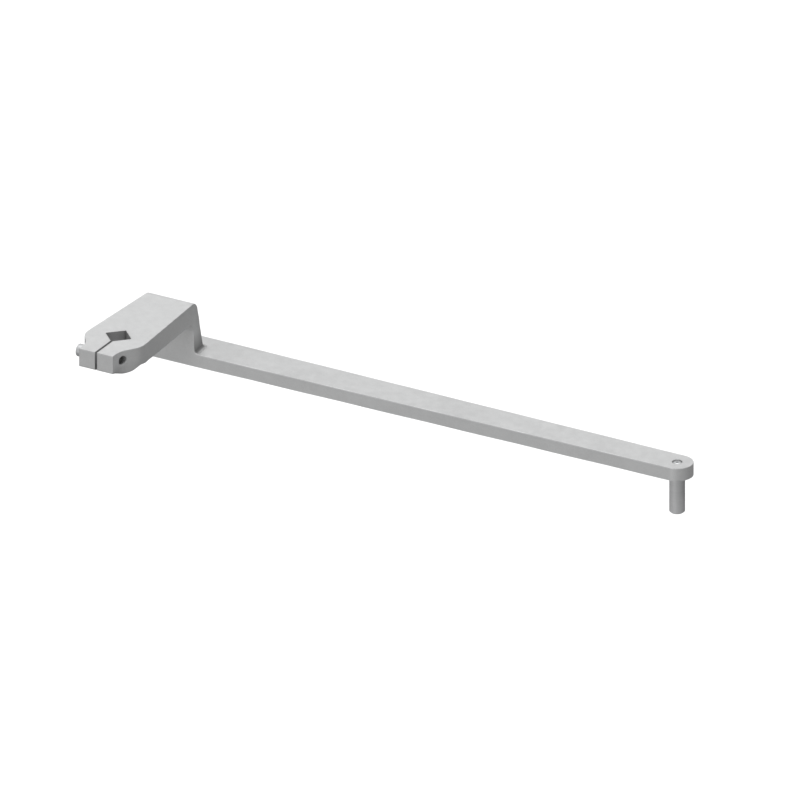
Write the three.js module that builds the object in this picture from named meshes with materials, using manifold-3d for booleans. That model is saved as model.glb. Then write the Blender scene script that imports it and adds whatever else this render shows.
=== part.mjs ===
// Cranked lever arm of a swing gate opener: a cast arm that clamps on the opener's square shaft,
// with a pin at its far end that drives the gate.
// Millimetres, +Z up. The origin is the axis of the square socket, at the head's top face.
// +X runs along the bar towards the pin, and -Y points at the open end of the clamp.

import * as THREE from "three";
import { mergeVertices } from "three/addons/utils/BufferGeometryUtils.js";
import Module from "manifold-3d";

const wasm = await Module();
wasm.setup();

// ---- Driving dimensions ----

// Clamp head: a flat plate that narrows towards its back, with two ears at the front.
const headThickness = 20.5;
const headHalfWidth = 33;
const headBackHalfWidth = 27;
const headBackY = 110.7;
const shoulderY = -3.3;
const earStartY = -39.3;
const earFrontY = -45.3;
const earHalfWidth = 19.5;
const earFrontHeight = 19.4;
const earCornerRadius = 0.7;

// Square socket for the opener's shaft, set corner-wise to the slot.
const socketSide = 21;
const slotWidth = 2.5;

// Cross hole for the clamp screw, and the round boss that thickens the ears below it.
const clampY = -29.3;
const clampZ = -10.2;
const clampClearanceRadius = 4.5;
const clampThreadRadius = 4.1;
const clampMouthRadius = 4.7;
const clampMouthX = 17;
const clampSeatX = -19;
const clampSeatRadius = 8;
const bossY = -24.6;
const bossZ = -10.7;
const bossRadius = 15.3;
const bossBlendRadius = 5;

// Riser between the head and the bar: its front is upright, its back slopes, and its ends have draft.
const riserFrontY = 101.7;
const riserSlope = 0.215;
const riserNarrowing = 0.1;
const riserDraft = 0.05;
const riserBackRadius = 9;
const riserInnerRadius = 10;
const riserFilletRadius = 5;

// Bar: flat, as wide as its root under the riser, then tapered to a round eye at the pin.
const barTopZ = -54.2;
const barThickness = 14;
const barCentreY = 122.3;
const eyeX = 574.5;
const eyeRadius = 16.5;

// Pin with a shoulder under the bar, held from above by a screw in a counterbore.
const pinRadius = 8;
const pinLength = 41;
const pinChamfer = 1.5;
const shankRadius = 4;
const counterboreRadius = 5.2;
const counterboreDepth = 4.4;

// Fasteners: nominal sizes of an M8 cap screw, an M5 button head screw and their spring washers.
const clampScrew = { thread: 4, length: 35, headRadius: 6.5, headHeight: 8, key: 6, keyDepth: 4 };
const pinScrew = { thread: 2.5, length: 14, headRadius: 4.75, headHeight: 2.75, key: 3, keyDepth: 1.5 };
const clampWasher = { inner: 4.15, outer: 7.4, thickness: 2 };
const pinWasher = { inner: 2.6, outer: 4.6, thickness: 1.2 };
const washerSlit = 1;

const contactGap = 0.1; // between faces that rest on each other
const radialGap = 0.1; // between a shaft and the hole that holds it
const cutMargin = 5; // how far a cutting shape runs past what it cuts
const roundSides = 48;
const arcSteps = 10;

const barBottomZ = barTopZ - barThickness;
const barRootHalfWidth = barCentreY - riserFrontY;
const barStartX = -headBackHalfWidth + riserDraft * barTopZ;
const taperStartX = -barStartX + riserFilletRadius;

// ---- Solids ----

function solidFrom(geometry) {
  const bare = geometry.clone();
  bare.deleteAttribute("normal");
  bare.deleteAttribute("uv");
  const merged = mergeVertices(bare, 1e-4);
  const mesh = new wasm.Mesh({
    numProp: 3,
    vertProperties: merged.getAttribute("position").array,
    triVerts: new Uint32Array(merged.index.array),
  });
  return new wasm.Manifold(mesh);
}

function geometryFrom(solid) {
  const mesh = solid.getMesh();
  const geometry = new THREE.BufferGeometry();
  geometry.setAttribute("position", new THREE.BufferAttribute(mesh.vertProperties, 3));
  geometry.setIndex(new THREE.BufferAttribute(mesh.triVerts, 1));
  const faceted = geometry.toNonIndexed();
  faceted.computeVertexNormals();
  return faceted;
}

function extrude(shape, depth) {
  return new THREE.ExtrudeGeometry(shape, { depth, bevelEnabled: false, curveSegments: arcSteps });
}

// A plan outline (x, y), solid from z = low to z = high.
function alongZ(shape, low, high) {
  return solidFrom(extrude(shape, high - low).translate(0, 0, low));
}

// A side outline (y, z), solid from x = low to x = high.
function alongX(shape, low, high) {
  const turn = new THREE.Matrix4().set(0, 0, 1, low, 1, 0, 0, 0, 0, 1, 0, 0, 0, 0, 0, 1);
  return solidFrom(extrude(shape, high - low).applyMatrix4(turn));
}

// A front outline (x, z), solid from y = low to y = high.
function alongY(shape, low, high) {
  const turn = new THREE.Matrix4().set(1, 0, 0, 0, 0, 0, -1, high, 0, 1, 0, 0, 0, 0, 0, 1);
  return solidFrom(extrude(shape, high - low).applyMatrix4(turn));
}

function cylinderZ(radius, x, y, low, high) {
  const cylinder = new THREE.CylinderGeometry(radius, radius, high - low, roundSides);
  return solidFrom(cylinder.rotateX(Math.PI / 2).translate(x, y, (low + high) / 2));
}

function cylinderX(radius, y, z, low, high) {
  const cylinder = new THREE.CylinderGeometry(radius, radius, high - low, roundSides);
  return solidFrom(cylinder.rotateZ(Math.PI / 2).translate((low + high) / 2, y, z));
}

function box(low, high) {
  const size = high.map((value, i) => value - low[i]);
  const centre = high.map((value, i) => (value + low[i]) / 2);
  return solidFrom(new THREE.BoxGeometry(...size).translate(...centre));
}

// ---- Casting ----

// Half the width of the head's back and of the riser, which narrow backwards and widen downwards.
function backHalfWidth(y, z) {
  return headBackHalfWidth - riserNarrowing * (y - riserFrontY) - riserDraft * z;
}

// The head's plan at its top face, from behind the riser's top to the ears' front.
function headOutline() {
  const middleY = (shoulderY + earStartY) / 2;
  const corner = earHalfWidth - earCornerRadius;
  const behindY = headBackY + 2 * cutMargin;
  const shape = new THREE.Shape();
  shape.moveTo(backHalfWidth(behindY, 0), behindY);
  shape.lineTo(-backHalfWidth(behindY, 0), behindY);
  shape.lineTo(-headBackHalfWidth, riserFrontY);
  shape.lineTo(-headHalfWidth, shoulderY);
  shape.bezierCurveTo(-headHalfWidth, middleY, -earHalfWidth, middleY, -earHalfWidth, earStartY);
  shape.lineTo(-earHalfWidth, earFrontY + earCornerRadius);
  shape.quadraticCurveTo(-earHalfWidth, earFrontY, -corner, earFrontY);
  shape.lineTo(corner, earFrontY);
  shape.quadraticCurveTo(earHalfWidth, earFrontY, earHalfWidth, earFrontY + earCornerRadius);
  shape.lineTo(earHalfWidth, earStartY);
  shape.bezierCurveTo(earHalfWidth, middleY, headHalfWidth, middleY, headHalfWidth, shoulderY);
  shape.lineTo(headBackHalfWidth, riserFrontY);
  return shape;
}

// The angle, from straight down, at which the line from the ear's lower front corner touches the boss.
function bossTangentAngle() {
  const dy = earFrontY - bossY;
  const dz = -earFrontHeight - bossZ;
  const toCorner = Math.atan2(dz, dy);
  return toCorner + Math.acos(bossRadius / Math.hypot(dy, dz));
}

// The head and the boss from the side: flat top, sloping back, and the ears' thick lower edge.
function headProfile() {
  const backTangent = riserBackRadius * Math.tan((Math.PI / 2 - Math.atan(riserSlope)) / 2);
  const slopeLength = Math.hypot(1, riserSlope);
  const start = bossTangentAngle();
  // The concave blend from the boss up to the head's underside touches both.
  const blendZ = -headThickness - bossBlendRadius;
  const reach = bossRadius + bossBlendRadius;
  const blendY = bossY + Math.sqrt(reach ** 2 - (blendZ - bossZ) ** 2);
  const end = Math.atan2(blendZ - bossZ, blendY - bossY);
  const shape = new THREE.Shape();
  shape.moveTo(earFrontY, 0);
  shape.lineTo(earFrontY, -earFrontHeight);
  shape.absarc(bossY, bossZ, bossRadius, start, end, false);
  shape.absarc(blendY, blendZ, bossBlendRadius, end + Math.PI, Math.PI / 2, true);
  const innerY = riserFrontY - riserInnerRadius;
  const innerZ = -headThickness - riserInnerRadius;
  shape.absarc(innerY, innerZ, riserInnerRadius, Math.PI / 2, 0, true);
  shape.lineTo(headBackY - riserSlope * innerZ, innerZ);
  shape.lineTo(headBackY + (riserSlope * backTangent) / slopeLength, -backTangent / slopeLength);
  shape.quadraticCurveTo(headBackY, 0, headBackY - backTangent, 0);
  return shape;
}

// The head, with draft on the sides of its back only.
function head() {
  const across = headHalfWidth + cutMargin;
  const plan = extrude(headOutline(), -barTopZ).translate(0, 0, barTopZ);
  const place = plan.getAttribute("position");
  for (let i = 0; i < place.count; i++) {
    if (place.getY(i) >= riserFrontY) {
      const side = Math.sign(place.getX(i));
      place.setX(i, side * backHalfWidth(place.getY(i), place.getZ(i)));
    }
  }
  return alongX(headProfile(), -across, across).intersect(solidFrom(plan));
}

// The riser: a plan outline carried down from inside the head into the bar, and spread level by
// level. Its foot flares out on the bar's top, backwards and towards the pin, as a fillet.
function riser() {
  const filletLevels = Array.from({ length: arcSteps + 1 }, (_, i) => {
    const angle = ((i / arcSteps) * Math.PI) / 2;
    return {
      z: barTopZ + riserFilletRadius * (1 - Math.sin(angle)),
      flare: riserFilletRadius * (1 - Math.cos(angle)),
    };
  });
  const levels = [
    { z: -headThickness, flare: 0 },
    ...filletLevels,
    { z: barTopZ - 1, flare: riserFilletRadius },
  ];
  const plan = new THREE.Shape();
  plan.moveTo(-1, 0);
  plan.lineTo(1, 0);
  plan.lineTo(1, 1);
  plan.lineTo(-1, 1);
  const steps = levels.length - 1;
  const geometry = new THREE.ExtrudeGeometry(plan, { depth: 1, steps, bevelEnabled: false });
  const place = geometry.getAttribute("position");
  for (let i = 0; i < place.count; i++) {
    const { z, flare } = levels[steps - Math.round(place.getZ(i) * steps)];
    const backY = headBackY - riserSlope * z + flare;
    const y = place.getY(i) > 0 ? backY : riserFrontY;
    const half = backHalfWidth(Math.min(y, backY - flare), z);
    place.setXYZ(i, place.getX(i) > 0 ? half + flare : -half, y, z);
  }
  return solidFrom(geometry);
}

function barOutline() {
  const shape = new THREE.Shape();
  shape.moveTo(barStartX, barCentreY - barRootHalfWidth);
  shape.lineTo(taperStartX, barCentreY - barRootHalfWidth);
  shape.lineTo(eyeX, barCentreY - eyeRadius);
  shape.absarc(eyeX, barCentreY, eyeRadius, -Math.PI / 2, Math.PI / 2, false);
  shape.lineTo(taperStartX, barCentreY + barRootHalfWidth);
  shape.lineTo(barStartX, barCentreY + barRootHalfWidth);
  return shape;
}

function casting() {
  const across = headHalfWidth + cutMargin;
  const bar = alongZ(barOutline(), barBottomZ, barTopZ);

  const halfDiagonal = socketSide / Math.SQRT2;
  const square = new THREE.Shape();
  square.moveTo(halfDiagonal, 0);
  square.lineTo(0, halfDiagonal);
  square.lineTo(-halfDiagonal, 0);
  square.lineTo(0, -halfDiagonal);
  const lowest = bossZ - bossRadius - cutMargin;
  const slot = box(
    [-slotWidth / 2, earFrontY - cutMargin, lowest],
    [slotWidth / 2, -halfDiagonal + slotWidth, cutMargin],
  );
  return head()
    .add(riser())
    .add(bar)
    .subtract(alongZ(square, lowest, cutMargin))
    .subtract(slot)
    .subtract(cylinderX(clampClearanceRadius, clampY, clampZ, -across, 0))
    .subtract(cylinderX(clampThreadRadius, clampY, clampZ, 0, across))
    .subtract(cylinderX(clampMouthRadius, clampY, clampZ, clampMouthX, across))
    .subtract(cylinderX(clampSeatRadius, clampY, clampZ, -across, clampSeatX))
    .subtract(cylinderZ(shankRadius + radialGap, eyeX, barCentreY, barBottomZ - 1, barTopZ))
    .subtract(
      cylinderZ(counterboreRadius, eyeX, barCentreY, barTopZ - counterboreDepth, barTopZ + 1),
    );
}

// ---- Turned pieces: profiles are (radius, height) pairs that start and end on the axis ----

function turned(points) {
  const profile = points.map(([radius, height]) => new THREE.Vector2(radius, height));
  return solidFrom(new THREE.LatheGeometry(profile, roundSides).rotateX(Math.PI / 2));
}

// Top of the shank at z = 0, shoulder below it; a tapped hole runs down from the top.
function pin() {
  const shankLength = barThickness - counterboreDepth - contactGap;
  const shoulderZ = -shankLength - contactGap;
  const endZ = shoulderZ - pinLength;
  const threadDepth = pinScrew.length + 2;
  const tapRadius = pinScrew.thread + radialGap;
  const topChamfer = 0.5;
  return turned([
    [0, endZ],
    [pinRadius - pinChamfer, endZ],
    [pinRadius, endZ + pinChamfer],
    [pinRadius, shoulderZ - topChamfer],
    [pinRadius - topChamfer, shoulderZ],
    [shankRadius, shoulderZ],
    [shankRadius, -topChamfer],
    [shankRadius - topChamfer, 0],
    [tapRadius, 0],
    [tapRadius, -threadDepth],
    [0, -threadDepth - tapRadius / 2],
  ]);
}

function hexagonKey(acrossFlats, low, high) {
  const corner = acrossFlats / Math.sqrt(3);
  const hexagon = new THREE.CylinderGeometry(corner, corner, high - low, 6);
  return solidFrom(hexagon.rotateX(Math.PI / 2).translate(0, 0, (low + high) / 2));
}

// Head above z = 0, thread below.
function capScrew({ thread, length, headRadius, headHeight, key, keyDepth }) {
  const edge = 0.8;
  const tip = 1;
  return turned([
    [0, -length],
    [thread - tip, -length],
    [thread, -length + tip],
    [thread, 0],
    [headRadius, 0],
    [headRadius, headHeight - edge],
    [headRadius - edge, headHeight],
    [0, headHeight],
  ]).subtract(hexagonKey(key, headHeight - keyDepth, headHeight + 1));
}

function buttonScrew({ thread, length, headRadius, headHeight, key, keyDepth }) {
  const rim = 0.4;
  const crown = headRadius * 0.4;
  const tip = 0.8;
  const quarter = Array.from({ length: arcSteps + 1 }, (_, i) => {
    const angle = ((i / arcSteps) * Math.PI) / 2;
    return [
      crown + (headRadius - crown) * Math.cos(angle),
      rim + (headHeight - rim) * Math.sin(angle),
    ];
  });
  return turned([
    [0, -length],
    [thread - tip, -length],
    [thread, -length + tip],
    [thread, 0],
    [headRadius, 0],
    ...quarter,
    [0, headHeight],
  ]).subtract(hexagonKey(key, headHeight - keyDepth, headHeight + 1));
}

// A spring washer pressed flat: a ring above z = 0 with a slanted slit.
function springWasher({ inner, outer, thickness }) {
  const ring = cylinderZ(outer, 0, 0, 0, thickness).subtract(
    cylinderZ(inner, 0, 0, -1, thickness + 1),
  );
  const slit = new THREE.Shape();
  slit.moveTo(-washerSlit, -1);
  slit.lineTo(0, -1);
  slit.lineTo(washerSlit, thickness + 1);
  slit.lineTo(0, thickness + 1);
  return ring.subtract(alongY(slit, 0, outer + 1));
}

// ---- Assembly ----

const arm = new THREE.Group();

function addPiece(parent, name, solid, { color, roughness, metalness }) {
  const material = new THREE.MeshStandardMaterial({ color, roughness, metalness });
  const mesh = new THREE.Mesh(geometryFrom(solid), material);
  mesh.name = name;
  parent.add(mesh);
  return mesh;
}

const castMetal = { color: 0xc8cac9, roughness: 0.55, metalness: 0.6 };
const turnedSteel = { color: 0xb4b6b7, roughness: 0.35, metalness: 0.9 };
const platedSteel = { color: 0xa8abad, roughness: 0.4, metalness: 0.9 };

addPiece(arm, "arm_casting", casting(), castMetal);

const eye = new THREE.Group();
eye.position.set(eyeX, barCentreY, barTopZ - counterboreDepth);
arm.add(eye);
addPiece(eye, "pivot_pin", pin(), turnedSteel).position.z = -contactGap;
addPiece(eye, "pin_lock_washer", springWasher(pinWasher), platedSteel).position.z = contactGap;
addPiece(eye, "pin_screw", buttonScrew(pinScrew), platedSteel).position.z =
  2 * contactGap + pinWasher.thickness;

// The clamp screw points along +X, so its local +Z is turned to -X.
const clamp = new THREE.Group();
clamp.position.set(clampSeatX, clampY, clampZ);
clamp.rotation.y = -Math.PI / 2;
arm.add(clamp);
addPiece(clamp, "clamp_lock_washer", springWasher(clampWasher), platedSteel).position.z = contactGap;
addPiece(clamp, "clamp_screw", capScrew(clampScrew), platedSteel).position.z =
  2 * contactGap + clampWasher.thickness;

export default arm;
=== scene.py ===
"""Gate opener arm: a cast lever with a split clamp head, a steel drive pin and two screws.

Shapes are worked out in millimetres in the row frame and scaled to metres when a mesh is made.
The casting is an implicit solid, turned into a mesh by dual contouring; the rest is revolved or swept.
"""

import functools
import math

import bpy
import numpy as np
from mathutils import Matrix, Vector


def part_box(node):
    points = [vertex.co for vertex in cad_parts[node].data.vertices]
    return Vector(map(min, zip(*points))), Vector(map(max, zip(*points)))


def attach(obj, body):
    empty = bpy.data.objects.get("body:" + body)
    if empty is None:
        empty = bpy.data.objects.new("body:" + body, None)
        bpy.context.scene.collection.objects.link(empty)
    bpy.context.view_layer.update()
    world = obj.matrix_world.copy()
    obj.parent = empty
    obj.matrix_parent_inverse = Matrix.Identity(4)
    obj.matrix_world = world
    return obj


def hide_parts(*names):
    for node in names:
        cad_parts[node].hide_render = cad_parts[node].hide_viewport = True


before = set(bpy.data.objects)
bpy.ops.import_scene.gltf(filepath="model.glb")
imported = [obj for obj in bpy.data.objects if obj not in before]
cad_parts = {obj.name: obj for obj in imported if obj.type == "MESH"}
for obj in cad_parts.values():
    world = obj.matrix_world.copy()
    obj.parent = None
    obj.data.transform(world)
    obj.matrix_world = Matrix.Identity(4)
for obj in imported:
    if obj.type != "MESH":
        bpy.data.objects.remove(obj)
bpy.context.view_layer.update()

MM = 0.001

# ---- Dimensions, in millimetres, as in the CAD ----

HEAD_THICKNESS = 20.5
HEAD_HALF_WIDTH = 33
HEAD_BACK_HALF_WIDTH = 27
HEAD_BACK_Y = 110.7
SHOULDER_Y = -3.3
EAR_START_Y = -39.3
EAR_FRONT_Y = -45.3
EAR_HALF_WIDTH = 19.5
EAR_FRONT_HEIGHT = 19.4
SOCKET_SIDE = 21
SLOT_WIDTH = 2.5
CLAMP_Y = -29.3
CLAMP_Z = -10.2
CLAMP_CLEARANCE_RADIUS = 4.5
CLAMP_THREAD_RADIUS = 4.1
CLAMP_MOUTH_RADIUS = 4.7
CLAMP_MOUTH_X = 17
CLAMP_SEAT_X = -19
CLAMP_SEAT_RADIUS = 8
BOSS_Y = -24.6
BOSS_Z = -10.7
RISER_FRONT_Y = 101.7
RISER_SLOPE = 0.215
RISER_NARROWING = 0.1
RISER_DRAFT = 0.05
RISER_BACK_RADIUS = 9
RISER_INNER_RADIUS = 10
BAR_TOP_Z = -54.2
BAR_THICKNESS = 14
BAR_CENTRE_Y = 122.3
BAR_ROOT_HALF_WIDTH = 20.6
EYE_X = 574.5
EYE_RADIUS = 16.5
PIN_RADIUS = 8
PIN_LENGTH = 41
SHANK_RADIUS = 4
COUNTERBORE_RADIUS = 5.2
COUNTERBORE_DEPTH = 4.4
CONTACT_GAP = 0.1

# Nearer the photo than the CAD, which has 15.3, 5 and 5, and within the CAD's box.
BOSS_RADIUS = 15.5
BOSS_BLEND_RADIUS = 3
RISER_FILLET_RADIUS = 3.6

# Rounded edges, which the CAD leaves sharp or makes simpler.
EDGE_RADIUS = 0.6
BOSS_EDGE_RADIUS = 2.4
RISER_EDGE_RADIUS = 1.5
BAR_EDGE_RADIUS = 0.6

# How far the head's and riser's solids run down into the bar.
BAR_OVERLAP = 2

BAR_BOTTOM_Z = BAR_TOP_Z - BAR_THICKNESS
BAR_START_HALF = HEAD_BACK_HALF_WIDTH - RISER_DRAFT * BAR_TOP_Z
TAPER_START_X = BAR_START_HALF + RISER_FILLET_RADIUS


# ---- The casting as an implicit solid: negative inside, close to a distance near the surface ----


def ramp(value, low, high):
    """From 0 at low smoothly to 1 at high."""
    t = np.clip((value - low) / (high - low), 0, 1)
    return t * t * (3 - 2 * t)


def both(a, b, radius):
    """Where a and b overlap, with the edge between them rounded."""
    outside = np.hypot(np.maximum(a + radius, 0), np.maximum(b + radius, 0))
    return np.minimum(-radius, np.maximum(a, b)) + outside


def either(a, b, radius):
    """a and b together, with a fillet in the corner between them."""
    inside = np.hypot(np.maximum(radius - a, 0), np.maximum(radius - b, 0))
    return np.maximum(radius, np.minimum(a, b)) - inside


def plan_table():
    """Half the head's width against y: ears, an S-shaped shoulder, then straight to the back.
    The table starts in front of the lattice and ends behind it."""
    near_y = EAR_FRONT_Y - 20
    far_y = RISER_FRONT_Y + 60
    t = np.linspace(0, 1, 241)[::-1]
    middle_y = (SHOULDER_Y + EAR_START_Y) / 2
    weights = [(1 - t) ** 3, 3 * t * (1 - t) ** 2, 3 * t * t * (1 - t), t**3]
    curve_y = sum(w * v for w, v in zip(weights, (SHOULDER_Y, middle_y, middle_y, EAR_START_Y)))
    wide, narrow = HEAD_HALF_WIDTH, EAR_HALF_WIDTH
    curve_x = sum(w * v for w, v in zip(weights, (wide, wide, narrow, narrow)))
    ys = np.concatenate([[near_y], curve_y, [RISER_FRONT_Y, far_y]])
    far_half = HEAD_BACK_HALF_WIDTH - RISER_NARROWING * (far_y - RISER_FRONT_Y)
    xs = np.concatenate([[narrow], curve_x, [HEAD_BACK_HALF_WIDTH, far_half]])
    return ys, xs


PLAN_Y, PLAN_X = plan_table()
PLAN_SLOPE = np.gradient(PLAN_X, PLAN_Y)


def plan_side(x, y, z):
    """The head's and riser's sides, with draft that grows from the shoulder to the riser."""
    half = np.interp(y, PLAN_Y, PLAN_X)
    lean = np.hypot(1, np.interp(y, PLAN_Y, PLAN_SLOPE))
    draft = RISER_DRAFT * np.clip((y - SHOULDER_Y) / (RISER_FRONT_Y - SHOULDER_Y), 0, 1)
    return (np.abs(x) - half) / lean + draft * z


def back_face(y, z):
    return (y - HEAD_BACK_Y + RISER_SLOPE * z) / math.hypot(1, RISER_SLOPE)


def lower_front(y, z):
    """The boss round the clamp screw, and the straight face from it to the ears' front."""
    dy, dz = EAR_FRONT_Y - BOSS_Y, -EAR_FRONT_HEIGHT - BOSS_Z
    angle = math.atan2(dz, dy) + math.acos(BOSS_RADIUS / math.hypot(dy, dz))
    ny, nz = math.cos(angle), math.sin(angle)
    along = (z - BOSS_Z) * ny - (y - BOSS_Y) * nz
    flat = (y - BOSS_Y) * ny + (z - BOSS_Z) * nz - BOSS_RADIUS
    disc = np.hypot(y - BOSS_Y, z - BOSS_Z) - BOSS_RADIUS
    return np.where(along < 0, flat, disc)


def underside(y, z):
    """The plate, the boss and the riser's front face, with fillets between them."""
    plate = -HEAD_THICKNESS - z
    boss = lower_front(y, z)
    behind = either(plate, boss, BOSS_BLEND_RADIUS)
    behind = either(behind, RISER_FRONT_Y - y, RISER_INNER_RADIUS)
    return np.where(y < BOSS_Y, boss, behind)


def side_profile(y, z):
    """The head and riser seen from the side."""
    top = both(z, back_face(y, z), RISER_BACK_RADIUS)
    return np.maximum(top, underside(y, z))


def head_and_riser(x, y, z):
    """The plan and the side profile together; edges are rounder low on the boss and on the riser."""
    plan = both(plan_side(x, y, z), EAR_FRONT_Y - y, EDGE_RADIUS)
    low_on_boss = ramp(-z, 9, 17)
    along_boss = ramp(-y, 3, 15) * ramp(y, EAR_FRONT_Y + 1, EAR_FRONT_Y + 6)
    boss_share = low_on_boss * along_boss
    riser_share = ramp(-z, 20, 30) * ramp(y, RISER_FRONT_Y - 16, RISER_FRONT_Y - 4)
    radius = EDGE_RADIUS + (BOSS_EDGE_RADIUS - EDGE_RADIUS) * boss_share
    radius = radius + (RISER_EDGE_RADIUS - EDGE_RADIUS) * riser_share
    solid = both(plan, side_profile(y, z), radius)
    return np.maximum(solid, BAR_TOP_Z - BAR_OVERLAP - z)


def riser_foot(x, y, z):
    """The riser's last few millimetres again, flared to the back and towards the pin."""
    rise = np.clip(BAR_TOP_Z + RISER_FILLET_RADIUS - z, 0, RISER_FILLET_RADIUS)
    flare = RISER_FILLET_RADIUS - np.sqrt(RISER_FILLET_RADIUS**2 - rise**2)
    half = HEAD_BACK_HALF_WIDTH - RISER_NARROWING * (y - RISER_FRONT_Y) - RISER_DRAFT * z
    corner = both(x - half, back_face(y, z), RISER_EDGE_RADIUS)
    grown = both(corner - flare, RISER_FRONT_Y - y, RISER_EDGE_RADIUS)
    grown = both(grown, -x - half, RISER_EDGE_RADIUS)
    slab = np.maximum(z - BAR_TOP_Z - RISER_FILLET_RADIUS, BAR_TOP_Z - BAR_OVERLAP - z)
    return np.maximum(grown, slab)


def bar(x, y, z):
    """The flat bar: straight under the riser, tapered to the eye and round at its end."""
    across = np.abs(y - BAR_CENTRE_Y)
    share = np.clip((x - TAPER_START_X) / (EYE_X - TAPER_START_X), 0, 1)
    half = BAR_ROOT_HALF_WIDTH + (EYE_RADIUS - BAR_ROOT_HALF_WIDTH) * share
    eye = np.hypot(x - EYE_X, across) - EYE_RADIUS
    plan = np.where(x < EYE_X, across - half, eye)
    start = -x - HEAD_BACK_HALF_WIDTH + RISER_DRAFT * z
    plan = both(plan, start, RISER_EDGE_RADIUS)
    slab = np.abs(z - BAR_TOP_Z + BAR_THICKNESS / 2) - BAR_THICKNESS / 2
    return both(plan, slab, BAR_EDGE_RADIUS)


def machined(x, y, z):
    """What was cut out of the casting afterwards: positive outside the cuts."""
    socket = (np.abs(x) + np.abs(y)) / math.sqrt(2) - SOCKET_SIDE / 2
    slot = np.maximum(np.abs(x) - SLOT_WIDTH / 2, y + SOCKET_SIDE / 2)
    from_clamp = np.hypot(y - CLAMP_Y, z - CLAMP_Z)
    left = np.maximum(from_clamp - CLAMP_CLEARANCE_RADIUS, x)
    right = np.maximum(from_clamp - CLAMP_THREAD_RADIUS, -x)
    mouth = np.maximum(from_clamp - CLAMP_MOUTH_RADIUS, CLAMP_MOUTH_X - x)
    seat = np.maximum(from_clamp - CLAMP_SEAT_RADIUS, x - CLAMP_SEAT_X)
    from_eye = np.hypot(x - EYE_X, y - BAR_CENTRE_Y)
    shank = from_eye - SHANK_RADIUS - CONTACT_GAP
    floor = BAR_TOP_Z - COUNTERBORE_DEPTH - z
    counterbore = np.maximum(from_eye - COUNTERBORE_RADIUS, floor)
    cuts = (socket, slot, left, right, mouth, seat, shank, counterbore)
    return functools.reduce(np.minimum, cuts)


def casting(x, y, z):
    solid = np.minimum(head_and_riser(x, y, z), riser_foot(x, y, z))
    solid = np.minimum(solid, bar(x, y, z))
    return np.maximum(solid, -machined(x, y, z))


# ---- Dual contouring ----


def steps(*pairs):
    """Lattice lines: (end, step) pairs after the start."""
    line = [pairs[0]]
    for end, step in pairs[1:]:
        count = max(1, round((end - line[-1]) / step))
        line += list(np.linspace(line[-1], end, count + 1)[1:])
    return np.array(line)


# Fine round the head and the eye and coarse along the bar, with no line on a flat face.
LATTICE = (
    steps(-34.13, (41.3, 0.75), (547.3, 6.3), (592.7, 0.75)),
    steps(-47.47, (-8.7, 0.7), (89.3, 1.3), (143.5, 0.77)),
    steps(-69.01, (0.97, 0.72)),
)


def gradient(points, reach=0.01):
    """Unit normals of the implicit solid."""
    normal = np.empty_like(points)
    for axis in range(3):
        ahead, behind = points.copy(), points.copy()
        ahead[:, axis] += reach
        behind[:, axis] -= reach
        normal[:, axis] = casting(*ahead.T) - casting(*behind.T)
    return normal / np.maximum(np.linalg.norm(normal, axis=1, keepdims=True), 1e-9)


def sample_lattice():
    """The solid's value at each lattice point, worked out a few layers at a time to save memory."""
    xs, ys, zs = LATTICE
    layers = 16
    values = np.empty((len(xs), len(ys), len(zs)), np.float32)
    for i in range(0, len(xs), layers):
        slab = xs[i : i + layers, None, None]
        values[i : i + layers] = casting(slab, ys[None, :, None], zs[None, None, :])
    return values


def crossing_points(low, high, f_low, f_high):
    """Where the surface cuts lattice edges, by a bracketed secant search."""
    for _ in range(5):
        share = np.clip(f_low / (f_low - f_high), 0.05, 0.95)[:, None]
        middle = low + (high - low) * share
        f_middle = casting(*middle.T)
        same = (f_middle < 0) == (f_low < 0)
        low, high = np.where(same[:, None], middle, low), np.where(same[:, None], high, middle)
        f_low, f_high = np.where(same, f_middle, f_low), np.where(same, f_high, f_middle)
    return low + (high - low) * np.clip(f_low / (f_low - f_high), 0, 1)[:, None]


def contour():
    """Vertices (mm) and quads of the casting's surface."""
    values = sample_lattice()
    inside = values < 0
    shape = np.array(values.shape)
    cell_ids, points = [], []
    for axis in range(3):
        lower = [slice(None)] * 3
        upper = [slice(None)] * 3
        lower[axis], upper[axis] = slice(None, -1), slice(1, None)
        lower, upper = tuple(lower), tuple(upper)
        index = np.argwhere(inside[lower] != inside[upper])
        step = np.zeros(3, int)
        step[axis] = 1
        low = np.stack([LATTICE[a][index[:, a]] for a in range(3)], 1)
        far = index + step
        high = np.stack([LATTICE[a][far[:, a]] for a in range(3)], 1)
        f_low = values[tuple(index.T)].astype(float)
        f_high = values[tuple(far.T)].astype(float)
        points.append(crossing_points(low, high, f_low, f_high))
        # The four cells round each crossed edge make a quad, turned to face outwards.
        u, v = np.zeros(3, int), np.zeros(3, int)
        u[(axis + 1) % 3], v[(axis + 2) % 3] = 1, 1
        ring = np.stack([index - u - v, index - v, index, index - u], 1)
        flip = f_low > 0
        ring[flip] = ring[flip][:, ::-1]
        ids = np.ravel_multi_index(tuple(np.moveaxis(ring, 2, 0)), tuple(shape))
        cell_ids.append(ids)
    ids = np.concatenate(cell_ids)
    points = np.concatenate(points)
    cells, quads = np.unique(ids, return_inverse=True)
    quads = quads.reshape(-1, 4)
    return place_vertices(cells, quads, points, shape), quads


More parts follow.
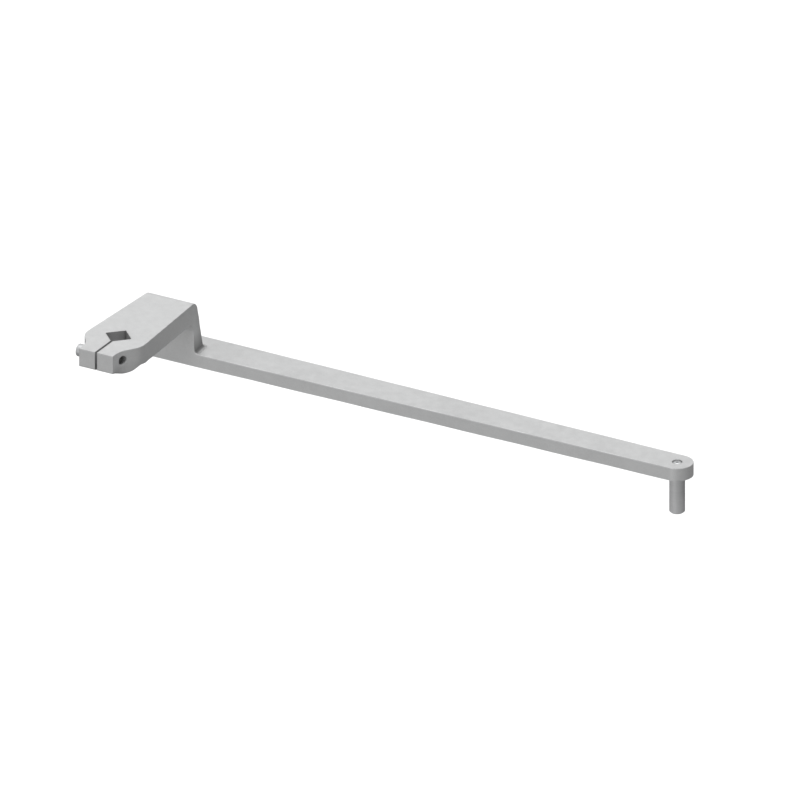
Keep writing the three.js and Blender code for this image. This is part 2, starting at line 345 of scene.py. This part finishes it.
def place_vertices(cells, quads, points, shape):
    """One vertex in each cell, where the planes through its crossing points meet.
    In directions that the planes hardly fix, it stays at the middle of the points."""
    least_share = 0.06
    normals = gradient(points)
    owner = quads.ravel()
    count = len(cells)
    p = np.repeat(points, 4, axis=0)
    n = np.repeat(normals, 4, axis=0)
    total = np.bincount(owner, minlength=count)
    centre = np.stack([np.bincount(owner, p[:, a], count) / total for a in range(3)], 1)
    offset = np.einsum("ij,ij->i", n, p - centre[owner])
    matrix = np.empty((count, 3, 3))
    vector = np.empty((count, 3))
    for a in range(3):
        vector[:, a] = np.bincount(owner, n[:, a] * offset, count)
        for b in range(3):
            matrix[:, a, b] = np.bincount(owner, n[:, a] * n[:, b], count)
    size, basis = np.linalg.eigh(matrix)
    keep = size > least_share * size[:, 2:3]
    inverse = np.where(keep, 1 / np.maximum(size, 1e-9), 0)
    along = np.einsum("nji,nj->ni", basis, vector)
    place = centre + np.einsum("nij,nj->ni", basis, inverse * along)
    corner = np.stack(np.unravel_index(cells, tuple(shape)), 1)
    low = np.stack([LATTICE[a][corner[:, a]] for a in range(3)], 1)
    high = np.stack([LATTICE[a][corner[:, a] + 1] for a in range(3)], 1)
    return np.clip(place, low, high)


# ---- Meshes ----


def make_object(name, verts_mm, faces, sharp_degrees=32):
    mesh = bpy.data.meshes.new(name)
    mesh.from_pydata((np.asarray(verts_mm) * MM).tolist(), [], [list(f) for f in faces])
    mesh.validate()
    mesh.polygons.foreach_set("use_smooth", [True] * len(mesh.polygons))
    mesh.set_sharp_from_angle(angle=math.radians(sharp_degrees))
    mesh.update()
    obj = bpy.data.objects.new(name, mesh)
    bpy.context.scene.collection.objects.link(obj)
    return obj


def add_attribute(obj, name, values):
    attribute = obj.data.attributes.new(name, "FLOAT", "POINT")
    attribute.data.foreach_set("value", np.asarray(values, np.float32))


def revolve(rings, sides, closed=False):
    """A closed mesh from (radius, z) rings about +Z; each may be a number or one value per side.
    A ring of radius 0 is a point. closed joins the last ring to the first, as round a tube."""
    angles = np.arange(sides) * 2 * math.pi / sides
    verts, faces, last = [], [], None
    for radius, z in rings:
        start = len(verts)
        if np.ndim(radius) == 0 and radius == 0:
            verts.append((0, 0, z))
            ring = [start] * sides
        else:
            r = np.broadcast_to(radius, sides)
            h = np.broadcast_to(z, sides)
            verts += list(zip(r * np.cos(angles), r * np.sin(angles), h))
            ring = list(range(start, start + sides))
        if last is not None:
            for i in range(sides):
                j = (i + 1) % sides
                face = [last[i], last[j], ring[j], ring[i]]
                faces.append(list(dict.fromkeys(face)))
        last = ring
    if closed:
        for i in range(sides):
            j = (i + 1) % sides
            faces.append([last[i], last[j], j, i])
    return np.array(verts, float), faces


def arc(centre_r, centre_z, radius, start, end, count):
    """(radius, z) pairs on an arc, in degrees."""
    angles = np.radians(np.linspace(start, end, count))
    return [(centre_r + radius * math.cos(a), centre_z + radius * math.sin(a)) for a in angles]


def thread_depth(z, pitch, sides):
    """0 at a thread's crest and 1 at its root, for each side at height z; a right-hand thread."""
    crest_flat, root_flat = 0.125, 0.25
    turn = np.arange(sides) / sides
    phase = (z / pitch - turn) % 1
    distance = np.abs(phase - 0.5) * 2
    return np.clip((distance - crest_flat) / (1 - crest_flat - root_flat), 0, 1)


def hexagon(across_flats, sides):
    """A hexagon's outline, as a radius for each side."""
    angles = np.arange(sides) * 2 * math.pi / sides
    return across_flats / 2 / np.cos((angles + math.pi / 6) % (math.pi / 3) - math.pi / 6)


# ---- Pieces ----

SIDES = 72
RINGS_PER_PITCH = 10
CLAMP_PITCH = 1.25
CLAMP_LENGTH = 35
CLAMP_PLAIN = 7
PIN_PITCH = 0.8
PIN_SCREW_LENGTH = 14

# Washers: inner radius, outer radius and thickness.
CLAMP_WASHER = (4.15, 7.4, 2)
PIN_WASHER = (2.6, 4.6, 1.2)
WASHER_SLIT = 1

# Where the screws' heads rest: from the clamp's seat, and in the row frame.
EYE_FLOOR_Z = BAR_TOP_Z - COUNTERBORE_DEPTH
CLAMP_SCREW_Z = 2 * CONTACT_GAP + CLAMP_WASHER[2]
PIN_SCREW_Z = EYE_FLOOR_Z + 2 * CONTACT_GAP + PIN_WASHER[2]

# A small step that keeps surfaces, or two rings of a thread, from coinciding.
STEP = 0.05

# How much of the closed-in painted shade shows in the slot and, turned round into painted light, in the
# counterbore.
SLOT_SHADE_SHARE = 0.45
EYE_SHADE_SHARE = -0.6

# The painted shade's height above the bar, and how far the edge and cut attributes look from a vertex.
FOOT_SHADE_HEIGHT = 26
EDGE_REACH = 0.6
CUT_REACH = 0.05


def on_clamp_axis(verts, offset=0):
    """From a frame whose +Z leaves the clamp screw's seat to the row frame."""
    x, y, z = np.asarray(verts).T
    return np.stack([CLAMP_SEAT_X - z - offset, CLAMP_Y + y, CLAMP_Z + x], 1)


def on_eye_axis(verts, offset=0):
    """From a frame on the eye's and pin's axis, raised by offset, to the row frame."""
    x, y, z = np.asarray(verts).T
    return np.stack([EYE_X + x, BAR_CENTRE_Y + y, z + offset], 1)


def thread_rings(low, high, pitch, outer, depth, limit=None):
    """Rings of a thread from height low to high; limit(z, radius) trims them, as a chamfer does."""
    count = round((high - low) / pitch * RINGS_PER_PITCH)
    rings = []
    for z in np.linspace(low, high, count + 1):
        radius = outer - depth * thread_depth(z, pitch, SIDES)
        if limit is not None:
            radius = limit(z, radius)
        rings.append((radius, z))
    return rings


def clamp_thread():
    """The thread in the right ear, as a sleeve with its outside buried in the casting."""
    near_x, far_x = SLOT_WIDTH / 2 + 0.15, CLAMP_MOUTH_X - 0.2
    low, high = CLAMP_SEAT_X - far_x - CLAMP_SCREW_Z, CLAMP_SEAT_X - near_x - CLAMP_SCREW_Z
    sleeve = CLAMP_THREAD_RADIUS + STEP
    thinnest, groove_radius, groove_depth = 0.02, 4.06, 0.7

    def chamfer(z, radius):
        return np.minimum(sleeve - thinnest, np.maximum(radius, sleeve - (z - low)))

    inner = thread_rings(low, high, CLAMP_PITCH, groove_radius, groove_depth, chamfer)
    rings = [(sleeve, low), (sleeve, high)] + inner[::-1]
    verts, faces = revolve(rings, SIDES, closed=True)
    return on_clamp_axis(verts, CLAMP_SCREW_Z), faces


def painted_occlusion(points, normals):
    """How closed in each point is, from 0 in the open to 1: how much nearer the solid is than open
    air would leave it. The casting's colour is darkened by it as painted shade; it counts less in
    the slot, and the other way, as painted light, in the eye's counterbore."""
    shares = []
    for reach in (2, 4, 8):
        room = casting(*(points + normals * reach).T)
        shares.append(np.clip(1 - room / reach, 0, 1))
    x, y, z = points.T
    in_slot = (np.abs(x) < SLOT_WIDTH / 2 + 0.1) * (y < -SOCKET_SIDE / math.sqrt(2))
    in_eye = (np.hypot(x - EYE_X, y - BAR_CENTRE_Y) < COUNTERBORE_RADIUS + 0.1) * (z < BAR_TOP_Z)
    weight = np.where(in_slot, SLOT_SHADE_SHARE, np.where(in_eye, EYE_SHADE_SHARE, 1))
    return np.mean(shares, axis=0) * weight


def foot_shade(points, normals):
    """Painted shade low on the riser's side and in its fillet, where the bar leaves it, darker towards
    the bar.
    """
    x, y, z = points.T
    height = z - BAR_TOP_Z
    low = ramp(FOOT_SHADE_HEIGHT - height, 0, FOOT_SHADE_HEIGHT) * (height > 0.3)
    side = ramp(normals[:, 0], 0.1, 0.8) * (x > 0) * (x < TAPER_START_X) * (y > RISER_FRONT_Y)
    return low * side


def painted_light_and_shade(points, normals):
    """Painted light below 0 and painted shade above 0: lighter on the ears' right sides and the round
    end's side, darker on the head's right flank, the back of the riser's side and the bar's top.
    """
    x, y, z = points.T
    right, up = ramp(normals[:, 0], 0.7, 0.95), normals[:, 2]
    ears = ramp(-y, 8, 24) * right * ramp(z, -20, -12)
    flank = right * ramp(y, 0, 20) * (z > -HEAD_THICKNESS - 8)
    back = right * ramp(y, RISER_FRONT_Y + 4, RISER_FRONT_Y + 16) * (x < TAPER_START_X)
    bar_top = ramp(up, 0.9, 0.97) * (z < BAR_TOP_Z + 1) * (1 + ramp(-x, -110, -30))
    eye = ramp(x, EYE_X - 4, EYE_X + 6) * ramp(-np.abs(up), -0.3, -0.1)
    return 0.11 * bar_top + 0.05 * flank + 0.16 * back - 0.42 * ears - 0.1 * eye


def edge_bend(points):
    """How sharply the surface bends: above 0 on edges and below 0 in corners, up to 1 either way."""
    bend = -6 * casting(*points.T)
    for axis in range(3):
        for sign in (-1, 1):
            shifted = points.copy()
            shifted[:, axis] += sign * EDGE_REACH
            bend += casting(*shifted.T)
    return np.clip(bend / EDGE_REACH, -1, 1)


def make_casting():
    """The casting's skin, kept within the CAD's box, and its thread, with its material's attributes."""
    verts, quads = contour()
    low, high = (np.array(corner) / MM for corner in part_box("arm_casting"))
    verts = np.clip(verts, low, high)
    more, faces = clamp_thread()
    faces = [[i + len(verts) for i in face] for face in faces]
    obj = make_object("arm_casting_body", np.concatenate([verts, more]), quads.tolist() + faces)
    normals = gradient(verts)
    cut = np.abs(machined(*verts.T)) < CUT_REACH
    # Painted shade low on the riser, with painted light and shade on some faces, in one attribute.
    painted_tone = foot_shade(verts, normals) + painted_light_and_shade(verts, normals)
    zeros, ones = np.zeros(len(more)), np.ones(len(more))
    # Painted shade where the casting is closed in; the thread's sleeve gets it in full, so the threaded
    # hole is painted dark.
    add_attribute(obj, "painted_occlusion", np.concatenate([painted_occlusion(verts, normals), ones]))
    add_attribute(obj, "painted_tone", np.concatenate([painted_tone, zeros]))
    add_attribute(obj, "edge", np.concatenate([edge_bend(verts), zeros]))
    add_attribute(obj, "cut", np.concatenate([cut, ones]))
    return obj


def make_pin():
    """The pin from its chamfered end up, over its shoulder and shank, and down its tapped hole.
    The hole's thread is in step with the screw's, so it is worked out from the screw's seat."""
    top = EYE_FLOOR_Z - CONTACT_GAP
    shoulder = BAR_BOTTOM_Z - CONTACT_GAP
    end = shoulder - PIN_LENGTH
    hole_margin = 2
    thread_end = top - PIN_SCREW_LENGTH - hole_margin
    chamfer_width, chamfer_height, soft = 1.7, 1.55, 0.25
    shoulder_edge, shank_edge = 0.5, 0.5
    mouth_radius, thread_radius, thread_groove = 2.9, 2.55, 0.45
    drill_radius, drill_tip = 2.05, 1.2

    def countersink(z, radius):
        return np.maximum(radius, mouth_radius - (top - z - PIN_SCREW_Z))

    rings = [(0, end), (PIN_RADIUS - chamfer_width, end)]
    rings += arc(PIN_RADIUS - chamfer_width, end + soft, soft, -90, -45, 4)
    rings += arc(PIN_RADIUS - soft, end + chamfer_height, soft, -45, 0, 4)
    rings += [(PIN_RADIUS, shoulder - shoulder_edge - 0.1)]
    rings += arc(PIN_RADIUS - shoulder_edge, shoulder - shoulder_edge, shoulder_edge, 0, 90, 6)
    rings += [(SHANK_RADIUS, shoulder), (SHANK_RADIUS, top - shank_edge)]
    rings += [(SHANK_RADIUS - shank_edge, top), (mouth_radius, top)]
    low, high = thread_end - PIN_SCREW_Z, top - PIN_SCREW_Z - STEP
    thread = thread_rings(low, high, PIN_PITCH, thread_radius, thread_groove, countersink)
    rings += [(radius, z + PIN_SCREW_Z) for radius, z in reversed(thread)]
    rings += [(drill_radius, thread_end - STEP), (0, thread_end - drill_tip)]
    verts, faces = revolve(rings, SIDES)
    return make_object("pivot_pin_body", on_eye_axis(verts), faces)


def hex_socket(across_flats, top, depth):
    """Rings of a hexagonal key socket, from its rim down to the middle of its floor."""
    corner = across_flats / math.sqrt(3)
    wall = hexagon(across_flats, SIDES)
    rim = np.maximum(wall, corner + 0.02)
    bevel, bevel_foot = 0.12, 0.35
    floor_share, floor_dip, tip_dip = 0.55, 0.1, 0.9
    return [
        (rim + bevel, top),
        (np.minimum(wall + 0.1, rim), top - bevel),
        (wall, top - bevel_foot),
        (wall, top - depth),
        (wall * floor_share, top - depth - floor_dip),
        (0, top - depth - tip_dip),
    ]


def tip_limit(length, outer, chamfer):
    """A limit for thread_rings() that chamfers a screw's tip."""
    return lambda z, radius: np.minimum(radius, outer - chamfer + (z + length))


def make_clamp_screw():
    """A socket cap screw, from its tip at -length to its head's top, with its seat at 0."""
    length, outer, depth = CLAMP_LENGTH, 4.0, 0.767
    head, height, key, key_depth = 6.5, 8, 6, 4
    tip_chamfer, plain, run_out = 1.0, outer - 0.02, 0.6
    fillet, lower_edge, upper_edge = 0.4, 0.3, 0.8
    trim = tip_limit(length, outer, tip_chamfer)
    rings = [(0, -length), (outer - tip_chamfer - 0.1, -length)]
    rings += thread_rings(-length + STEP, -CLAMP_PLAIN, CLAMP_PITCH, outer, depth, trim)
    rings += [(plain, -CLAMP_PLAIN + run_out), (plain, -fillet)]
    rings += arc(plain + fillet, -fillet, fillet, 180, 90, 5)
    rings += [(head - lower_edge - 0.2, 0)]
    rings += arc(head - lower_edge, lower_edge, lower_edge, -90, 0, 5)
    rings += arc(head - upper_edge, height - upper_edge, upper_edge, 0, 90, 8)
    rings += hex_socket(key, height, key_depth)
    verts, faces = revolve(rings, SIDES)
    return make_object("clamp_screw_body", on_clamp_axis(verts, CLAMP_SCREW_Z), faces)


def make_pin_screw():
    """A button head screw, from its tip at -length to its domed top, with its seat at 0."""
    length, outer, depth = PIN_SCREW_LENGTH, 2.5, 0.49
    head, height, rim, key, key_depth = 4.75, 2.75, 0.4, 3, 1.5
    crown = head * 0.4
    tip_chamfer, thread_top, neck_top = 0.8, -0.9, -0.7
    fillet, lower_edge = 0.3, 0.15
    neck = outer - fillet
    trim = tip_limit(length, outer, tip_chamfer)
    rings = [(0, -length), (outer - tip_chamfer - 0.1, -length)]
    rings += thread_rings(-length + STEP, thread_top, PIN_PITCH, outer, depth, trim)
    rings += [(neck, neck_top), (neck, -fillet)]
    rings += arc(outer, -fillet, fillet, 180, 90, 4)
    rings += [(head - lower_edge, 0), (head, lower_edge)]
    for angle in np.radians(np.linspace(0, 90, 13)):
        wide = crown + (head - crown) * math.cos(angle)
        rings.append((wide, rim + (height - rim) * math.sin(angle)))
    rings += hex_socket(key, height, key_depth)
    verts, faces = revolve(rings, SIDES)
    return make_object("pin_screw_body", on_eye_axis(verts, PIN_SCREW_Z), faces)


def washer_mesh(inner, outer, thickness):
    """A split ring pressed flat, with a slanted slit on its +Y side."""
    edge = 0.22
    section = []
    for r, z, start in (
        (outer - edge, edge, -90),
        (outer - edge, thickness - edge, 0),
        (inner + edge, thickness - edge, 90),
        (inner + edge, edge, 180),
    ):
        section += arc(r, z, edge, start, start + 90, 4)
    middle = (inner + outer) / 2
    verts, faces = [], []
    half_slit = WASHER_SLIT / 2 / middle
    slant = 1.0 / (thickness + 2) / middle
    count = 96
    for k in range(count + 1):
        theta = math.pi / 2 + half_slit + (2 * math.pi - 2 * half_slit) * k / count
        for r, z in section:
            angle = theta - slant * (z - thickness / 2)
            verts.append((r * math.cos(angle), r * math.sin(angle), z))
    n = len(section)
    for k in range(count):
        for i in range(n):
            a, b = k * n + i, k * n + (i + 1) % n
            faces.append([a, a + n, b + n, b])
    faces.append(list(range(n)))
    faces.append([count * n + i for i in range(n)][::-1])
    return np.array(verts), faces


def make_clamp_washer():
    verts, faces = washer_mesh(*CLAMP_WASHER)
    return make_object("clamp_lock_washer_body", on_clamp_axis(verts, CONTACT_GAP), faces)


def make_pin_washer():
    verts, faces = washer_mesh(*PIN_WASHER)
    offset = EYE_FLOOR_Z + CONTACT_GAP
    return make_object("pin_lock_washer_body", on_eye_axis(verts, offset), faces)


# ---- Materials ----


class Nodes:
    """Short calls for building one material's node tree."""

    def __init__(self, name):
        self.material = bpy.data.materials.new(name)
        self.material.use_nodes = True
        self.tree = self.material.node_tree
        self.shader = self.tree.nodes["Principled BSDF"]
        self.place = self.new("ShaderNodeTexCoord").outputs["Object"]

    def new(self, kind, **settings):
        node = self.tree.nodes.new(kind)
        for key, value in settings.items():
            setattr(node, key, value)
        return node

    def link(self, source, target):
        self.tree.links.new(source, target)

    def scaled(self, scale):
        mapping = self.new("ShaderNodeMapping")
        mapping.inputs["Scale"].default_value = scale
        self.link(self.place, mapping.inputs["Vector"])
        return mapping.outputs["Vector"]

    def noise(self, scale, detail=2.0, roughness=0.5, vector=None):
        node = self.new("ShaderNodeTexNoise")
        node.inputs["Scale"].default_value = scale
        node.inputs["Detail"].default_value = detail
        node.inputs["Roughness"].default_value = roughness
        self.link(vector or self.place, node.inputs["Vector"])
        return node.outputs["Fac"]

    def attribute(self, name):
        return self.new("ShaderNodeAttribute", attribute_name=name).outputs["Fac"]

    def span(self, value, low, high, to_low, to_high):
        """value, held between low and high, mapped to the range to_low to to_high."""
        node = self.new("ShaderNodeMapRange")
        self.link(value, node.inputs["Value"])
        for key, number in zip(
            ("From Min", "From Max", "To Min", "To Max"), (low, high, to_low, to_high)
        ):
            node.inputs[key].default_value = number
        return node.outputs["Result"]

    def math(self, operation, a, b):
        node = self.new("ShaderNodeMath", operation=operation)
        for socket, value in zip(node.inputs, (a, b)):
            if isinstance(value, (int, float)):
                socket.default_value = value
            else:
                self.link(value, socket)
        return node.outputs["Value"]

    def total(self, *values):
        result = values[0]
        for value in values[1:]:
            result = self.math("ADD", result, value)
        return result

    def tint(self, value, colour):
        """colour scaled by value, all over."""
        node = self.new("ShaderNodeVectorMath", operation="SCALE")
        node.inputs[0].default_value = colour
        self.link(value, node.inputs["Scale"])
        return node.outputs["Vector"]

    def bump(self, height, distance):
        node = self.new("ShaderNodeBump")
        node.inputs["Distance"].default_value = distance
        self.link(height, node.inputs["Height"])
        return node.outputs["Normal"]

    def set(self, **values):
        for key, value in values.items():
            socket = self.shader.inputs[key.replace("_", " ")]
            if isinstance(value, (int, float, tuple)):
                socket.default_value = value
            else:
                self.link(value, socket)


def cast_metal():
    """Grey cast skin, worn light on its edges, smoother where it was cut, with painted shade in its
    creases and closed-in places and painted light and shade on some faces.
    """
    m = Nodes("cast_metal")
    cloud = m.noise(26, 3)
    blotch = m.noise(140, 3)
    grain = m.noise(900, 3, 0.6)
    fine = m.noise(2600, 2)
    cut = m.attribute("cut")
    edge = m.attribute("edge")
    wear = m.math("MULTIPLY", m.span(edge, 0.12, 0.75, 0, 1), m.span(blotch, 0.38, 0.62, 0.2, 1))
    # Painted shade in concave creases and fillets.
    crease_shade = m.span(edge, -0.13, -0.07, -0.25, 0)
    level = m.total(
        m.span(cloud, 0.3, 0.7, 0.975, 1.02),
        m.span(blotch, 0.3, 0.7, -0.028, 0.028),
        m.span(grain, 0.3, 0.7, -0.045, 0.045),
        m.math("MULTIPLY", wear, 0.06),
        crease_shade,
        m.math("MULTIPLY", cut, -0.1),
    )
    # Painted shade in closed-in places, and painted light in the eye's counterbore.
    occlusion_factor = m.span(m.attribute("painted_occlusion"), -1, 1, 1.5, 0.5)
    # Painted light and shade from that attribute: lighter below 0, darker above 0.
    painted_tone_factor = m.span(m.attribute("painted_tone"), -1, 1, 1.58, 0.42)
    level = m.math("MULTIPLY", m.math("MULTIPLY", level, occlusion_factor), painted_tone_factor)
    rough = m.total(
        m.span(blotch, 0.3, 0.7, 0.5, 0.58),
        m.span(grain, 0.3, 0.7, -0.04, 0.04),
        m.math("MULTIPLY", wear, -0.12),
        m.math("MULTIPLY", cut, -0.14),
    )
    skin = m.math("SUBTRACT", 1, m.math("MULTIPLY", cut, 0.85))
    height = m.math("MULTIPLY", m.total(grain, m.span(fine, 0, 1, 0, 0.5)), skin)
    tool_marks = m.noise(1, 1, 0.5, m.scaled((5200, 5200, 90)))
    height = m.total(height, m.math("MULTIPLY", m.span(tool_marks, 0, 1, 0, 0.35), cut))
    m.set(
        Base_Color=m.tint(level, (0.6, 0.604, 0.605)),
        Metallic=0.25,
        Roughness=rough,
        Normal=m.bump(height, 0.00013),
    )
    return m.material


def turned_steel():
    """Bright steel with fine rings round its axis."""
    m = Nodes("turned_steel")
    rings = m.noise(1, 2, 0.6, m.scaled((3, 3, 3600)))
    broad = m.noise(1, 2, 0.5, m.scaled((20, 20, 420)))
    blotch = m.noise(160, 3)
    level = m.total(
        m.span(broad, 0.3, 0.7, 0.97, 1.02),
        m.span(rings, 0.3, 0.7, -0.03, 0.03),
        m.span(blotch, 0.3, 0.7, -0.03, 0.02),
    )
    rough = m.total(m.span(blotch, 0.3, 0.7, 0.46, 0.56), m.span(rings, 0.3, 0.7, -0.05, 0.05))
    m.set(
        Base_Color=m.tint(level, (0.665, 0.67, 0.675)),
        Metallic=0.12,
        Roughness=rough,
        Normal=m.bump(m.total(rings, m.math("MULTIPLY", broad, 0.5)), 0.00004),
    )
    return m.material


def plated_steel():
    """The screws' and washers' plating, faintly clouded and specked."""
    m = Nodes("plated_steel")
    cloud = m.noise(220, 3)
    speck = m.noise(2200, 2, 0.6)
    level = m.total(m.span(cloud, 0.3, 0.7, 0.95, 1.03), m.span(speck, 0.3, 0.7, -0.03, 0.03))
    rough = m.total(m.span(cloud, 0.3, 0.7, 0.46, 0.56), m.span(speck, 0.3, 0.7, -0.04, 0.04))
    m.set(
        Base_Color=m.tint(level, (0.55, 0.558, 0.565)),
        Metallic=0.45,
        Roughness=rough,
        Normal=m.bump(speck, 0.00003),
    )
    return m.material


# ---- Building the object ----

CAST, TURNED, PLATED = cast_metal(), turned_steel(), plated_steel()
for build, node, body, material, slot in (
    (make_casting, "arm_casting", "arm", CAST, "cast_metal"),
    (make_pin, "pivot_pin", "arm", TURNED, "turned_steel"),
    (make_clamp_screw, "clamp_screw", "clamp_bolt", PLATED, "plated_steel"),
    (make_clamp_washer, "clamp_lock_washer", "clamp_washer", PLATED, "plated_steel"),
    (make_pin_screw, "pin_screw", "pin_bolt", PLATED, "plated_steel"),
    (make_pin_washer, "pin_lock_washer", "pin_washer", PLATED, "plated_steel"),
):
    piece = build()
    piece.data.materials.append(material)
    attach(piece, body)
    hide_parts(node)

# ---- Floor, light and camera ----

FLOOR_Z = -1.2
FLOOR_HALF = 12
WORLD_LEVEL = 0.25

# Name, strength, direction towards the light, and width in degrees.
SUNS = (
    ("soft_top", 3.2, (0.05, -0.02, 0.99), 40),
    ("front_fill", 0.845, (-0.13, -0.985, -0.08), 32),
)
CAMERA_AZIMUTH = math.radians(30)
CAMERA_ELEVATION = math.radians(25)
CAMERA_SCALE = 0.8
CAMERA_AIM = (0.2815, -0.06408)
CAMERA_DISTANCE = 3


def make_floor():
    """A plain pale floor. The object floats on white in the photo, so the floor is seen by the
    camera but neither reflects light onto the object nor blocks the fill light from below."""
    count = 24
    line = np.linspace(-FLOOR_HALF, FLOOR_HALF, count + 1)
    verts = [(x, y, FLOOR_Z) for y in line for x in line]
    wide = count + 1
    faces = [
        (j * wide + i, j * wide + i + 1, (j + 1) * wide + i + 1, (j + 1) * wide + i)
        for j in range(count)
        for i in range(count)
    ]
    mesh = bpy.data.meshes.new("floor")
    mesh.from_pydata(verts, [], faces)
    floor = bpy.data.objects.new("floor", mesh)
    bpy.context.scene.collection.objects.link(floor)
    m = Nodes("floor_white")
    m.set(
        Base_Color=m.tint(m.span(m.noise(3, 2), 0.3, 0.7, 0.985, 1), (0.93, 0.93, 0.93)),
        Roughness=0.9,
    )
    mesh.materials.append(m.material)
    floor.visible_diffuse = False
    floor.visible_glossy = False
    floor.visible_shadow = False


def make_light():
    """Soft studio light: a dim white world and two wide suns."""
    world = bpy.data.worlds.new("studio")
    bpy.context.scene.world = world
    world.use_nodes = True
    background = world.node_tree.nodes["Background"]
    background.inputs["Color"].default_value = (1, 1, 1, 1)
    background.inputs["Strength"].default_value = WORLD_LEVEL
    for name, strength, source, angle in SUNS:
        sun = bpy.data.lights.new(name, "SUN")
        sun.energy = strength
        sun.angle = math.radians(angle)
        lamp = bpy.data.objects.new(name, sun)
        lamp.rotation_mode = "QUATERNION"
        lamp.rotation_quaternion = Vector(source).to_track_quat("Z", "Y")
        bpy.context.scene.collection.objects.link(lamp)


def make_camera():
    """A parallel view at the photo's azimuth and elevation."""
    azimuth, elevation = CAMERA_AZIMUTH, CAMERA_ELEVATION
    right = Vector((math.cos(azimuth), math.sin(azimuth), 0))
    back = Vector(
        (
            math.sin(azimuth) * math.cos(elevation),
            -math.cos(azimuth) * math.cos(elevation),
            math.sin(elevation),
        )
    )
    up = back.cross(right)
    data = bpy.data.cameras.new("camera")
    data.type = "ORTHO"
    data.ortho_scale = CAMERA_SCALE
    data.clip_end = 100
    camera = bpy.data.objects.new("camera", data)
    aim = right * CAMERA_AIM[0] + up * CAMERA_AIM[1]
    turn = Matrix((right, up, back)).transposed().to_4x4()
    camera.matrix_world = Matrix.Translation(aim + back * CAMERA_DISTANCE) @ turn
    bpy.context.scene.collection.objects.link(camera)
    bpy.context.scene.camera = camera


make_floor()
make_light()
make_camera()
bpy.context.scene.view_settings.view_transform = "Standard"
